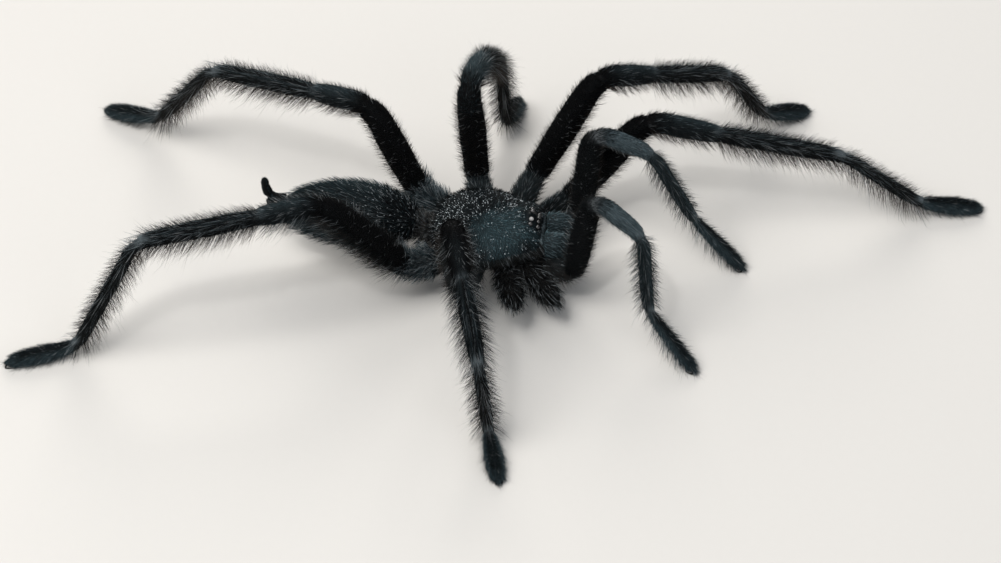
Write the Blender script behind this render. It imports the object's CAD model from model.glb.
"""Dresses a packed tarantula as a museum-style model: one skin, a coat of solid hairs, the
carapace, eyes, fangs and claws, and a pale studio stage. Lengths in the code are millimetres."""
import math

import bpy
import numpy as np
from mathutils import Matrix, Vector


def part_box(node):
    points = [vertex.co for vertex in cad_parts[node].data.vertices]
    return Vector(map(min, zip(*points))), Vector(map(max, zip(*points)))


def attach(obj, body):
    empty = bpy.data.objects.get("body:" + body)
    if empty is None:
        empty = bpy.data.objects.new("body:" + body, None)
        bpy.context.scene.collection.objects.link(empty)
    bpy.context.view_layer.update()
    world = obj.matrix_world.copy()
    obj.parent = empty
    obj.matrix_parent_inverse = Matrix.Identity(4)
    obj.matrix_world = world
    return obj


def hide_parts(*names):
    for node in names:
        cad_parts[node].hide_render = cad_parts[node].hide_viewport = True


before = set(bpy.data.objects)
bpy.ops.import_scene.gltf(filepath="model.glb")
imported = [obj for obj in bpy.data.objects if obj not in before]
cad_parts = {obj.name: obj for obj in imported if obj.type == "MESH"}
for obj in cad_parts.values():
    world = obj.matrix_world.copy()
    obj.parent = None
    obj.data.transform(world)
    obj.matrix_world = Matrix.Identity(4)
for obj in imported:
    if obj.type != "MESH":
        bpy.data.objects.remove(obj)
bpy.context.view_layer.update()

bl_info = {
    "name": "Tarantula Dresser",
    "version": (1, 0, 0),
    "blender": (4, 5, 0),
    "location": "3D View > Sidebar > Tarantula",
    "description": "Builds the skin, coat, carapace, eyes, fangs, claws and stage of a tarantula",
    "category": "Object",
}

MM = 0.001

# ------------------------------------------------------------------ measures of the animal

MARGIN_HEIGHT = 6.6
FOOT_HEIGHT = 0.6
FLOOR_CLEARANCE = 0.12
KNEE_BEND, JOINT_BEND, KNEE = 3.0, 2.2, 2
CARAPACE_FRONT, CARAPACE_REAR, RIM = 6.5, -7.1, 0.5
DOME_CENTRE = -1.3
TUBERCLE = {"ahead": 5.0, "long": 1.25, "wide": 1.4, "tall": 0.95}
ABDOMEN = {"length": 17.4, "half_width": 4.2, "half_height": 3.8}
ABDOMEN_FRONT = (-8.9, 0.0, 0.3)
ABDOMEN_TURN, ABDOMEN_RISE = 2.5, -1.0

# lengths run from the hip outwards; hip and socket are ahead, out to the side and above
LEG_SEGMENTS = ("coxa", "femur", "patella", "tibia", "metatarsus", "tarsus")
PALP_SEGMENTS = ("coxa", "femur", "patella", "tibia", "tarsus")
PAIRS = {
    "palp": {"lengths": (12.3, 7.9, 10.2, 8.8), "hip": (10.6, 5.1, -1.9), "socket": (6.0, 1.7, -2.9)},
    1: {"lengths": (15.7, 9.4, 16.4, 13.0, 7.6), "hip": (8.7, 8.7, -2.9), "socket": (4.2, 3.0, -2.8)},
    2: {"lengths": (16.7, 8.2, 12.0, 11.4, 7.0), "hip": (4.1, 11.2, -1.4), "socket": (1.8, 3.3, -2.8)},
    3: {"lengths": (15.9, 6.8, 10.3, 10.6, 6.8), "hip": (-2.9, 9.6, -0.7), "socket": (-1.2, 3.2, -2.8)},
    4: {"lengths": (15.8, 7.7, 14.9, 17.4, 8.2), "hip": (-9.8, 6.5, -1.3), "socket": (-4.0, 2.8, -2.8)},
}
# half widths at a segment's start, belly and end
GIRTHS = {
    "coxa": (1.3, 1.65, 1.3), "femur": (1.35, 1.8, 1.35), "patella": (1.25, 1.5, 1.2),
    "tibia": (1.15, 1.35, 1.05), "metatarsus": (0.95, 1.1, 0.9), "tarsus": (0.85, 1.1, 0.5),
}
PALP_COXA, PALP_GIRTH = (1.2, 1.45, 1.15), 0.85
STUMP_COXA, STUMP_END, STUMP_LENGTH = (1.3, 1.55, 0.85), (0.85, 0.8, 0.3), 0.8
# how far the skin lies under its solids
COAT_DEPTH = {"coxa": 0.2, "femur": 0.18, "patella": 0.22, "tibia": 0.35, "metatarsus": 0.42,
              "tarsus": 0.24}
PALP_COAT_DEPTH = {"coxa": 0.2, "femur": 0.18, "patella": 0.22, "tibia": 0.42, "tarsus": 0.34}
CARAPACE_DEPTH, KEEL_DEPTH, ABDOMEN_DEPTH, STUMP_DEPTH, JAW_DEPTH = 0.08, 0.1, 0.22, 0.15, (0.12, 0.15)
THINNEST = 0.02
BOX_TOLERANCE = 0.6

# heading out from the nose, lean of the limb's plane, slopes out from the hip, and the foot's
LIMBS = (
    {"pair": "palp", "side": 1, "heading": -3.7, "lean": 15, "slopes": (87.5, -15.6), "foot": -43},
    {"pair": "palp", "side": -1, "heading": -30.3, "lean": 11.3, "slopes": (86.4, -13.1), "foot": -33},
    {"pair": 1, "side": 1, "heading": 8.7, "lean": 4.4, "slopes": (53.9, -15.6, -14.4), "foot": -8.7},
    {"pair": 2, "side": 1, "heading": 31.2, "lean": -4.1, "slopes": (61.6, -19.5, -21.5), "foot": -20},
    {"pair": 3, "side": 1, "heading": 81.9, "lean": 3.4, "slopes": (93.2, -9, -45.3), "foot": -19},
    {"pair": 4, "side": 1, "heading": 161.2, "lean": 8.4, "slopes": (70.4, -7.3, -9.1), "foot": -15},
    {"pair": 3, "side": -1, "heading": -74.4, "lean": -5.3, "slopes": (74.7, -30.2, -31.9), "foot": -10.6},
    {"pair": 4, "side": -1, "heading": -160.4, "lean": -3, "slopes": (51.9, -3, -3.2), "foot": -5.4},
)
STUMPS = ({"pair": 1, "side": -1}, {"pair": 2, "side": -1})
# ahead, out to the side and radius
EYES = {"front_middle": (5.75, 0.38, 0.28), "front_side": (5.75, 1.05, 0.3),
        "rear_middle": (4.95, 0.68, 0.25), "rear_side": (4.85, 1.28, 0.27)}
OVAL_EYE = 1.12
MILKY_EYES = {"right_rear_middle": 0.5, "left_rear_middle": 0.06, "right_rear_side": 0.03}
# a claw's root is behind the foot's tip, to the side and above
CLAW = {"root": (0.25, 0.18, 0.1), "curl": math.radians(215), "half": 0.11, "tip": 0.01, "lowest": 0.14}
LONG_CLAWS = {"leg_right_4": 1.4}
SPINNERETS = {
    "spinneret_long_left": {"side": 1, "girth": 0.56, "root": 0.9, "bend": -0.1, "tip": (0.3, 1.9, 2.9)},
    "spinneret_long_right": {"side": -1, "girth": 0.5, "root": 0.4, "bend": 0.2, "tip": (0.2, 1.0, 1.9)},
    "spinneret_short_left": {"side": 1, "girth": 0.38, "root": -0.7, "bend": 0.2, "tip": (0.1, 1.3, 0.1)},
    "spinneret_short_right": {"side": -1, "girth": 0.38, "root": -0.7, "bend": 0.2, "tip": (0.1, 1.3, 0.1)},
}
# the margin's points are ahead and out, the jaw's and fang's also above, and a jaw's station is its
# place, half width and half height
MARGIN = ((CARAPACE_FRONT, 0), (6.4, 2.2), (5.6, 3.7), (3.2, 4.7), (0.8, 5.9), (-1.8, 6.25),
          (-4.4, 5.4), (-6.3, 3.6), (-7.0, 1.6), (CARAPACE_REAR, 0))
JAW_LINE = ((6.9, 1.68, -1.1), (8.3, 1.72, -1.45), (9.9, 1.6, -2.6))
JAW_STATIONS = ((0, 1.3, 2.3), (0.14, 1.48, 2.7), (0.38, 1.54, 2.9), (0.6, 1.48, 2.7),
                (0.8, 1.28, 2.15), (0.93, 0.9, 1.4), (1, 0.5, 0.7))
FANG_LINE = ((9.9, 1.52, -4.0), (9.9, 1.5, -4.5), (9.6, 1.45, -5.1), (8.7, 1.35, -5.5), (7.2, 1.2, -5.6))

# a hair's root lies this deep, its rings thin by the taper up to the last ring, it is a small patch
# of its chart, and a coat stays under the limit of triangles
ROOT_DEPTH, TAPER, LAST_RING, LOWEST_HAIR = 0.06, 0.35, 0.7, 0.01
PATCH = 0.003
TRIANGLE_LIMIT = 200000
JITTER = 0.3

# ------------------------------------------------------------------ small maths

SPAN_POINTS, BEND_POINTS, WAVES = 16, 12, 7
PLASTIC = np.array([0.7548776662466927, 0.5698402909980532])


def unit(vectors):
    """Each vector divided by its length."""
    return vectors / np.maximum(np.linalg.norm(vectors, axis=-1, keepdims=True), 1e-12)


def dot(a, b):
    """Row by row dot product, kept as a column."""
    return np.sum(a * b, axis=-1, keepdims=True)


def mix(a, b, share):
    """a at share 0, b at share 1, and in proportion between."""
    return a + (b - a) * share


def smoothstep(x, low, high):
    """3t^2 - 2t^3, where t runs from 0 at low to 1 at high and is clamped."""
    t = np.clip((x - low) / (high - low), 0, 1)
    return t * t * (3 - 2 * t)


def hump(distance, reach):
    """A bell: e to the minus square of distance over reach."""
    return np.exp(-((distance / reach) ** 2))


def swell(at, girths, power=0.6):
    """The straight line from the start girth to the end girth, plus the belly's excess over it
    times the sine of pi times the place, to a power."""
    start, belly, end = girths
    neck = mix(start, end, at)
    return neck + (belly - neck) * np.sin(np.pi * np.clip(at, 0, 1)) ** power


def arc(points):
    """Distance along a row of points, from 0 at the first."""
    return np.r_[0, np.cumsum(np.linalg.norm(np.diff(points, axis=0), axis=1))]


def resample(points, places):
    """Points at shares `places` of a row's length, by straight lines between its points."""
    along = arc(points)
    return np.stack([np.interp(places * along[-1], along, column) for column in points.T], axis=1)


def even(points, step):
    """A row of points resampled to equal steps of about `step`."""
    count = max(2, int(math.ceil(arc(points)[-1] / step)) + 1)
    return resample(points, np.linspace(0, 1, count))


def parabola(start, control, end, count):
    """start (1 - t)^2 + 2 control t (1 - t) + end t^2, for t from 0 to 1."""
    t = np.linspace(0, 1, count)[:, None]
    return start * (1 - t) ** 2 + 2 * control * t * (1 - t) + end * t ** 2


def spline(points, closed=False):
    """A centripetal Catmull-Rom curve: between two points it is the cubic whose end slopes are
    those of the parabola through each point and its neighbours, with knots spaced by the square
    root of their distance."""
    points = np.asarray(points, float)
    if closed:
        row = np.vstack([points[-1:], points, points[:2]])
    else:
        row = np.vstack([2 * points[0] - points[1], points, 2 * points[-1] - points[-2]])
    p0, p1, p2, p3 = row[:-3], row[1:-2], row[2:-1], row[3:]
    d0, d1, d2 = (np.sqrt(np.linalg.norm(b - a, axis=1, keepdims=True))
                  for a, b in ((p0, p1), (p1, p2), (p2, p3)))
    m1 = ((p1 - p0) / d0 - (p2 - p0) / (d0 + d1) + (p2 - p1) / d1) * d1
    m2 = ((p2 - p1) / d1 - (p3 - p1) / (d1 + d2) + (p3 - p2) / d2) * d1
    t = (np.arange(SPAN_POINTS) / SPAN_POINTS)[None, :, None]
    p1, p2, m1, m2 = (x[:, None, :] for x in (p1, p2, m1, m2))
    cubic = (p1 + m1 * t + (-3 * p1 + 3 * p2 - 2 * m1 - m2) * t ** 2
             + (2 * p1 - 2 * p2 + m1 + m2) * t ** 3).reshape(-1, points.shape[1])
    return cubic if closed else np.vstack([cubic, points[-1:]])


def table(at, rows):
    """Smooth values between the rows of a table whose first column is the place."""
    rows = np.asarray(rows, float)
    curve = spline(rows)
    return [np.interp(at, curve[:, 0], curve[:, column]) for column in range(1, rows.shape[1])]


def ripple(points, reach, seed):
    """Smooth noise round 0: the sum of sines along random directions, whose wave length is about
    the reach, over the root of their number."""
    rng = np.random.default_rng(seed)
    directions = unit(rng.normal(size=(WAVES, 3))) * 2 * np.pi / reach * rng.uniform(0.6, 1.5, (WAVES, 1))
    phases = rng.uniform(0, 2 * np.pi, WAVES)
    return np.sin(points @ directions.T + phases).sum(axis=1) / math.sqrt(WAVES)


def scatter(count, seed):
    """Evenly spread pairs between 0 and 1: multiples of the two plastic-number ratios."""
    return ((np.arange(count)[:, None] + seed * 0.37) * PLASTIC + 0.5) % 1


# ------------------------------------------------------------------ the body's own points


def middle_of(node):
    """The middle of a node's box, in metres."""
    return sum(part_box(node), Vector()) / 2


FRONT_EYES = [middle_of(f"eye_{hand}_front_middle") / MM for hand in ("left", "right")]
SHIFT = np.array([(FRONT_EYES[0].x + FRONT_EYES[1].x) / 2,
                  FRONT_EYES[0].y + EYES["front_middle"][0], 0.0])


def body_point(ahead, left, above):
    """Ahead of, left of and above the middle of the carapace's margin, as a place in the frame."""
    return np.array([left, -ahead, MARGIN_HEIGHT + above]) + SHIFT


def ahead_and_left(points):
    """How far points of the frame are ahead of and left of the carapace's middle."""
    return -(points - SHIFT)[:, 1], (points - SHIFT)[:, 0]


def abdomen_point(back, left, above):
    """A point of the abdomen: back along its middle line, left of it and above it."""
    turn, rise = math.radians(ABDOMEN_TURN), math.radians(ABDOMEN_RISE)
    along = np.array([math.sin(turn) * math.cos(rise), math.cos(turn) * math.cos(rise), math.sin(rise)])
    return (body_point(*ABDOMEN_FRONT) + along * back
            + np.array([left * math.cos(turn), -left * math.sin(turn), above]))


def hand_of(side):
    """The word for a side."""
    return "left" if side > 0 else "right"


def name_of(limb):
    """The start of a limb's node names."""
    hand = hand_of(limb["side"])
    return f"palp_{hand}" if limb["pair"] == "palp" else f"leg_{hand}_{limb['pair']}"


def segments_of(limb):
    """The names of a limb's segments, from the socket outwards."""
    return PALP_SEGMENTS if limb["pair"] == "palp" else LEG_SEGMENTS


def end_of(limb, end):
    """A limb's hip or socket, out to its own side."""
    ahead, out, above = PAIRS[limb["pair"]][end]
    return body_point(ahead, limb["side"] * out, above)


def plane_of(limb):
    """The limb's way out, its left and its up: the level heading, and the level left and the
    upright turned about it by the lean."""
    heading, lean = math.radians(limb["heading"] - 90), math.radians(limb["lean"])
    out = np.array([math.cos(heading), math.sin(heading), 0.0])
    across = np.array([-out[1], out[0], 0.0])
    upright = np.array([0.0, 0.0, 1.0])
    return (out, across * math.cos(lean) - upright * math.sin(lean),
            across * math.sin(lean) + upright * math.cos(lean))


def joints_of(limb):
    """The joints from the socket to the tip: each segment steps out by the cosine and up by the
    sine of its slope, and the last but one takes the slope that brings the foot to the floor."""
    lengths = PAIRS[limb["pair"]]["lengths"]
    hip = end_of(limb, "hip")
    out, _, up = plane_of(limb)
    slopes = [math.radians(slope) for slope in limb["slopes"]]
    foot = math.radians(limb["foot"])
    climbed = sum(length * math.sin(slope) for length, slope in zip(lengths, slopes))
    climbed += lengths[-1] * math.sin(foot)
    left = (FOOT_HEIGHT - hip[2]) / math.cos(math.radians(limb["lean"])) - climbed
    slopes += [math.asin(left / lengths[-2]), foot]
    steps = [length * (out * math.cos(slope) + up * math.sin(slope))
             for length, slope in zip(lengths, slopes)]
    return np.vstack([end_of(limb, "socket"), hip, hip + np.cumsum(steps, axis=0)])


def bend_at(joints, index):
    """A joint's corner, where its rounded bend is entered and left, and the bend's middle."""
    reach = KNEE_BEND if index == KNEE else JOINT_BEND
    corner = joints[index]
    enter, leave = (corner + unit(joints[other] - corner) * reach for other in (index - 1, index + 1))
    return corner, enter, leave, (enter + 2 * corner + leave) / 4


def run_of(joints, part):
    """A segment's run: half a parabola out of the joint before it, a straight line, and half a
    parabola into the joint after it."""
    first, last = joints[:1], joints[part + 1:part + 2]
    if part > 0:
        corner, _, leave, middle = bend_at(joints, part)
        first = parabola(middle, (corner + leave) / 2, leave, BEND_POINTS)
    if part + 2 < len(joints):
        corner, enter, _, middle = bend_at(joints, part + 1)
        last = parabola(enter, (corner + enter) / 2, middle, BEND_POINTS)
    return np.vstack([first, last])


# ------------------------------------------------------------------ tubes


class Tube:
    """A tube round a line. Its point at distance s and turn a is line(s) + left wide cos a
    + up (tall sin a + lift), where left is a given side made square to the line, and up is the
    line's way crossed with left. `place` is any number carried along the line."""

    def __init__(self, line, side, wide, tall, lift=0.0, place=None, floor=None):
        count = len(line)
        self.s = arc(line)
        self.place = self.s / self.s[-1] if place is None else place
        self.floor = floor
        along = unit(np.gradient(line, self.s, axis=0))
        side = np.broadcast_to(np.asarray(side, float), (count, 3))
        left = unit(side - dot(side, along) * along)
        wide, tall, lift = (np.broadcast_to(np.asarray(x, float), count) for x in (wide, tall, lift))
        self.columns = np.column_stack([
            line, along, left, np.cross(along, left), wide, tall, lift,
            np.gradient(wide, self.s), np.gradient(tall, self.s), self.place])

    def at(self, s, turn):
        """Points, outward normals, ways along and places at distances s and turns a."""
        where = np.interp(s, self.s, np.arange(len(self.s)))
        first = np.minimum(where.astype(int), len(self.s) - 2)
        share = (where - first)[:, None]
        row = self.columns[first] * (1 - share) + self.columns[first + 1] * share
        line, along, left, up = row[:, 0:3], row[:, 3:6], row[:, 6:9], row[:, 9:12]
        wide, tall, lift, wider, taller, place = (row[:, k:k + 1] for k in range(12, 18))
        cos, sin = np.cos(turn)[:, None], np.sin(turn)[:, None]
        point = line + left * wide * cos + up * (tall * sin + lift)
        outward = unit(left * cos * tall + up * sin * wide)
        steep = wider * cos ** 2 + taller * sin ** 2
        normal = unit(outward - along * steep)
        if self.floor is not None:
            low = point[:, 2] < self.floor
            point[low, 2] = self.floor
            normal[low] = (0, 0, -1)
        return point, normal, along, place[:, 0]

    def surface(self, sides):
        """The tube's grid of points, a ring for each point of its line, as a closed shell."""
        turns = np.linspace(0, 2 * np.pi, sides, endpoint=False)
        s, turn = np.repeat(self.s, sides), np.tile(turns, len(self.s))
        point, _, _, place = self.at(s, turn)
        return close_grid(point, len(self.s), sides), place, np.column_stack([s, turn])

    def roots(self, density, seed):
        """Scattered distances and turns, `density` to a square millimetre, each moved by chance
        within about its own share. The distance is read off the running total of the tube's
        girth, so that the scatter is even over the surface."""
        girth = np.pi * (self.columns[:, 12] + self.columns[:, 13])
        area = np.r_[0, np.cumsum((girth[1:] + girth[:-1]) / 2 * np.diff(self.s))]
        pairs = scatter(int(area[-1] * density), seed)
        step = JITTER / math.sqrt(len(pairs))
        pairs = np.abs(pairs + np.random.default_rng(seed).uniform(-step, step, pairs.shape))
        return np.interp(pairs[:, 0] * area[-1], area, self.s), pairs[:, 1] * 2 * np.pi


def close_grid(points, rows, sides):
    """Faces round a grid of rings, with a fan over each end. Returns points, quads, triangles."""
    ring = np.arange(sides)
    after = (ring + 1) % sides
    row = np.arange(rows - 1)[:, None] * sides
    quads = np.stack([row + ring, row + after, row + sides + after, row + sides + ring], axis=-1)
    first, last = len(points), len(points) + 1
    top = (rows - 1) * sides
    fans = np.vstack([
        np.column_stack([np.full(sides, first), after, ring]),
        np.column_stack([np.full(sides, last), top + ring, top + after]),
    ])
    centres = [points[:sides].mean(axis=0), points[-sides:].mean(axis=0)]
    return np.vstack([points, centres]), quads.reshape(-1, 4), fans


def rounded(along, reach_start, reach_end):
    """A factor that closes a tube's ends like a half ellipse of those reaches, where not 0."""
    factor = np.ones_like(along)
    for distance, reach in ((along, reach_start), (along[-1] - along, reach_end)):
        if reach:
            factor = factor * np.sqrt(np.maximum(1 - (1 - np.clip(distance / reach, 0, 1)) ** 2, 0))
    return factor


def limb_tube(limb, depth=1.0):
    """A limb as one tube from its socket to the tip of its foot, inside its solids by a share of
    the coat's depth, which runs evenly from the middle of one segment to the next. Each segment
    swells, and the tube is drawn in a little at each joint."""
    joints, names, palp = joints_of(limb), segments_of(limb), limb["pair"] == "palp"
    lines, halves, places = [], [], []
    for part, name in enumerate(names):
        run = even(run_of(joints, part), 0.25)
        at = np.linspace(0, 1, len(run))
        girths = np.array(GIRTHS[name]) * (PALP_GIRTH if palp else 1)
        if palp and name == "coxa":
            girths = PALP_COXA
        keep = slice(None) if part + 2 == len(joints) else slice(0, -1)
        lines.append(run[keep])
        halves.append(swell(at, girths)[keep])
        places.append((part + at)[keep])
    line, half, place = np.vstack(lines), np.concatenate(halves), np.concatenate(places)
    depths = [(PALP_COAT_DEPTH if palp else COAT_DEPTH)[name] for name in names]
    half = half - depth * np.interp(place, np.arange(len(depths)) + 0.5, depths)
    along = arc(line)
    if depth:
        for part in range(1, len(joints) - 1):
            half = half * (1 - 0.03 * hump(along - np.interp(part, place, along), 0.4))
        half = np.maximum(half * rounded(along, 0, 0.6), THINNEST)
    return Tube(line, plane_of(limb)[1], half * 0.95, half, place=place,
                floor=FLOOR_CLEARANCE * depth)


def stump_tube(stump):
    """A lost leg's coxa and the short healed stump beyond its hip."""
    socket, hip = end_of(stump, "socket"), end_of(stump, "hip")
    line = even(np.vstack([socket, hip, hip + unit(hip - socket) * STUMP_LENGTH]), 0.2)
    along = arc(line)
    coxa = np.linalg.norm(hip - socket)
    half = np.where(along < coxa, swell(along / coxa, STUMP_COXA),
                    swell((along - coxa) / STUMP_LENGTH, STUMP_END))
    place = np.interp(along, [0, coxa, along[-1]], [0, 1, 2])
    half = np.maximum((half - STUMP_DEPTH) * rounded(along, 0, 2.4), THINNEST)
    return Tube(line, np.cross((0, 0, 1), hip - socket), half * 0.95, half, place=place)


def keel_tube():
    """The underside of the front body, from the mouth to the waist."""
    line = even(np.vstack([body_point(6.2, 0, -2.1), body_point(-6.3, 0, -2.1)]), 0.3)
    at = np.linspace(0, 1, len(line))
    return Tube(line, (-1, 0, 0), swell(at, (1.6, 3.9, 1.8)) - KEEL_DEPTH,
                swell(at, (1.3, 1.9, 1.2)) - KEEL_DEPTH)


def neck_tube():
    """The soft neck between the keel and the jaws, under the front of the carapace."""
    line = even(np.vstack([body_point(4.4, 0, -1.3), body_point(7.9, 0, -1.9)]), 0.2)
    close = rounded(arc(line), 0, 0.8)
    return Tube(line, (-1, 0, 0), *(np.maximum(half * close, THINNEST) for half in (3.1, 1.35)))


def abdomen_tube(depth=1.0):
    """The abdomen: an egg whose girth is the 0.45th power of a sine, under its solid by a share
    of the coat's depth."""
    places = (1 - np.cos(np.linspace(0.02, 0.985, 90) * np.pi)) / 2
    line = resample(np.vstack([abdomen_point(0, 0, 0), abdomen_point(ABDOMEN["length"], 0, 0)]), places)
    girth = np.sin(np.pi * places ** 0.94) ** 0.45
    wide, tall = (ABDOMEN[half] * girth - ABDOMEN_DEPTH * depth for half in ("half_width", "half_height"))
    return Tube(line, (-1, 0, 0), wide, tall, lift=0.3 * np.sin(np.pi * places), place=places)


def pedicel_tube():
    """The waist between the two halves of the body, with two shallow rings."""
    line = even(np.vstack([body_point(-6.3, 0, -1.4), abdomen_point(0.5, 0, -0.5)]), 0.12)
    half = 0.92 - 0.07 * np.cos(arc(line) * 7)
    return Tube(line, (-1, 0, 0), half, half * 0.86)


def spinneret_tube(name):
    """A spinneret of three short joints, on a parabola that bends up or lies back."""
    own = SPINNERETS[name]
    outward, back, up = own["tip"]
    start = abdomen_point(ABDOMEN["length"] + 0.3, own["side"] * 0.75, own["root"])
    line = parabola(start, start + np.array([0, back, own["bend"] * up]),
                    start + np.array([own["side"] * outward, back, up]), 40)
    line = even(np.vstack([start - np.array([0, 0.7, 0]), line]), 0.1)
    along = arc(line)
    half = own["girth"] * swell(along / along[-1], (1, 1.05, 0.6), 0.8)
    joints = hump(along - 0.45 * along[-1], 0.18) + hump(along - 0.76 * along[-1], 0.15)
    half = np.maximum(half * (1 - 0.14 * joints) * rounded(along, 0, 0.45) - 0.03, THINNEST)
    return Tube(line, (1, 0, 0), half, half)


def side_line(points, side):
    """A spline through points that are ahead, out to a side and above."""
    return spline([body_point(ahead, side * out, above) for ahead, out, above in points])


def jaw_tube(side):
    """The domed basal segment of a jaw, drawn back a little into the neck."""
    line = side_line(JAW_LINE, side)
    line = even(np.vstack([line[0] + (0, 0.42, 0), line]), 0.1)
    close = rounded(arc(line), 0.3, 0.35)
    halves = table(np.linspace(0, 1, len(line)), JAW_STATIONS)
    return Tube(line, (1, 0, 0), *(np.maximum((half - depth) * close, THINNEST)
                                   for half, depth in zip(halves, JAW_DEPTH)))


def fang_tube(side):
    """A fang folded back under its jaw, thick at its root and drawn out to a point."""
    line = even(side_line(FANG_LINE, side), 0.08)
    at = np.linspace(0, 1, len(line))
    half = mix(0.55, 0.28, at) * (1 - smoothstep(at, 0.45, 1.0) * 0.93)
    return Tube(line, (1, 0, 0), half * 0.93, half)


def eye_tube(place, hand):
    """An eye as a ball: its line is a diameter, spaced by a cosine, and its girth is the sine. All
    but the two in front are a little longer than wide."""
    size = EYES[place][2]
    t = np.linspace(0.03, np.pi - 0.03, 20)
    centre = np.array(middle_of(f"eye_{hand}_{place}")) / MM
    line = centre + np.outer(-np.cos(t), (0, 0, size * 1.02))
    long = 1.0 if place == "front_middle" else OVAL_EYE
    return Tube(line, (1, 0, 0), np.sin(t) * size, np.sin(t) * size * long)


def claw_tube(limb, side, reach):
    """One claw of a foot: an arc of an ellipse that leaves along the foot and bends down and back
    under it, drawn out evenly ahead and to its side on the way. Its girth is 1 less the 1.5th
    power of the way along it."""
    joints, (_, left, _) = joints_of(limb), plane_of(limb)
    along = unit(joints[-1] - joints[-2])
    over = np.cross(along, left)
    back, aside, above = CLAW["root"]
    t = np.linspace(0, 1, 24)[:, None]
    bend = t * CLAW["curl"]
    line = joints[-1] + left * side * aside - along * back + over * above + reach * (
        along * (np.sin(bend) + 0.35 * t) + over * (np.cos(bend) - 1) * 0.6 + left * side * 0.6 * t)
    line[:, 2] = np.maximum(line[:, 2], CLAW["lowest"])
    half = CLAW["half"] * (1 - t[:, 0] ** 1.5) + CLAW["tip"]
    return Tube(line, left, half, half)


# ------------------------------------------------------------------ the carapace


def margin_line():
    """The closed outline of the carapace, level and round its own middle."""
    half = [(left, -ahead, 0.0) for ahead, left in MARGIN]
    other = [(-x, y, 0.0) for x, y, _ in half[1:-1][::-1]]
    return spline(half + other, closed=True)


EDGE = margin_line()
EDGE_AT = np.linspace(0, 1, len(EDGE) + 1)
EDGE_LOOP = np.vstack([EDGE, EDGE[:1]])


def from_eye_hill(ahead, left, long=TUBERCLE["long"], wide=TUBERCLE["wide"]):
    """Distance from the eyes' hill, in its own lengths and widths."""
    return np.hypot((ahead - TUBERCLE["ahead"]) / long, left / wide)


def dome_height(ahead, left, reach):
    """Height over the margin. It falls from the fovea as a power of the reach, later and more
    steeply in front; the fovea's pit, the grooves behind the head and the radial furrows are
    bells cut from it, and the eyes' hill is a bell added to it."""
    frontward = smoothstep(ahead, -1, 5)
    fall = 1 - reach ** mix(2.3, 5, frontward)
    dome = RIM + fall * mix(1.75, 2.35, frontward)
    pit = 0.5 * hump(ahead - DOME_CENTRE, 0.55) * hump(left, 1.0)
    groove = 0.34 * fall * hump(np.abs(left) - 0.8 * (ahead - DOME_CENTRE), 0.6) * smoothstep(ahead, -1, 0.5)
    turn = np.arctan2(np.abs(left), ahead - DOME_CENTRE)
    furrows = sum(hump(turn - math.radians(angle), 0.09) for angle in (82, 112, 143))
    furrow = 0.13 * furrows * smoothstep(reach, 0.12, 0.35) * (1 - smoothstep(reach, 0.7, 0.95))
    hill = TUBERCLE["tall"] * hump(from_eye_hill(ahead, left), 0.95)
    return dome - pit - groove - furrow + hill * np.minimum(1, fall * 3)


def dome_point(reach, turn):
    """The dome's point on the line from the fovea to the margin's point at `turn`, both 0 to 1."""
    edge = np.column_stack([np.interp(turn % 1, EDGE_AT, column) for column in EDGE_LOOP.T])
    centre = np.array([0.0, -DOME_CENTRE, 0.0])
    flat = centre + (edge - centre) * reach[:, None]
    height = dome_height(-flat[:, 1], flat[:, 0], reach) - CARAPACE_DEPTH
    return np.column_stack([flat[:, 0], flat[:, 1], MARGIN_HEIGHT + height]) + SHIFT


PLATE_TURNS, PLATE_RINGS = 180, 70


def plate_points():
    """The plate's rings: the margin lowered by most of the rim, a lip that stands out a little,
    and the dome's rings from the margin inwards, closer near it by the 0.9th power. Returns the
    points and their reach."""
    turns = np.linspace(0, 1, PLATE_TURNS, endpoint=False)
    reaches = np.linspace(1, 0.015, PLATE_RINGS) ** 0.9
    reach, turn = np.repeat(reaches, PLATE_TURNS), np.tile(turns, PLATE_RINGS)
    rim = dome_point(np.ones(PLATE_TURNS), turns)
    under = rim - (0, 0, RIM - 0.1)
    lip = rim + unit(rim - body_point(DOME_CENTRE, 0, RIM)) * (0.1, 0.1, 0) - (0, 0, 0.2)
    return np.vstack([under, lip, dome_point(reach, turn)]), np.r_[np.ones(2 * PLATE_TURNS), reach]


def dome_frame(reach, turn):
    """Point, normal and the way outward from the fovea, from small steps in reach and turn."""
    step = 1e-3
    point = dome_point(reach, turn)
    outward = dome_point(reach + step, turn) - dome_point(np.maximum(reach - step, 0), turn)
    round_ = dome_point(reach, turn + step) - dome_point(reach, turn - step)
    normal = unit(np.cross(outward, round_))
    normal[normal[:, 2] < 0] *= -1
    return point, normal, unit(outward)


# ------------------------------------------------------------------ meshes and hairs


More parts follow.
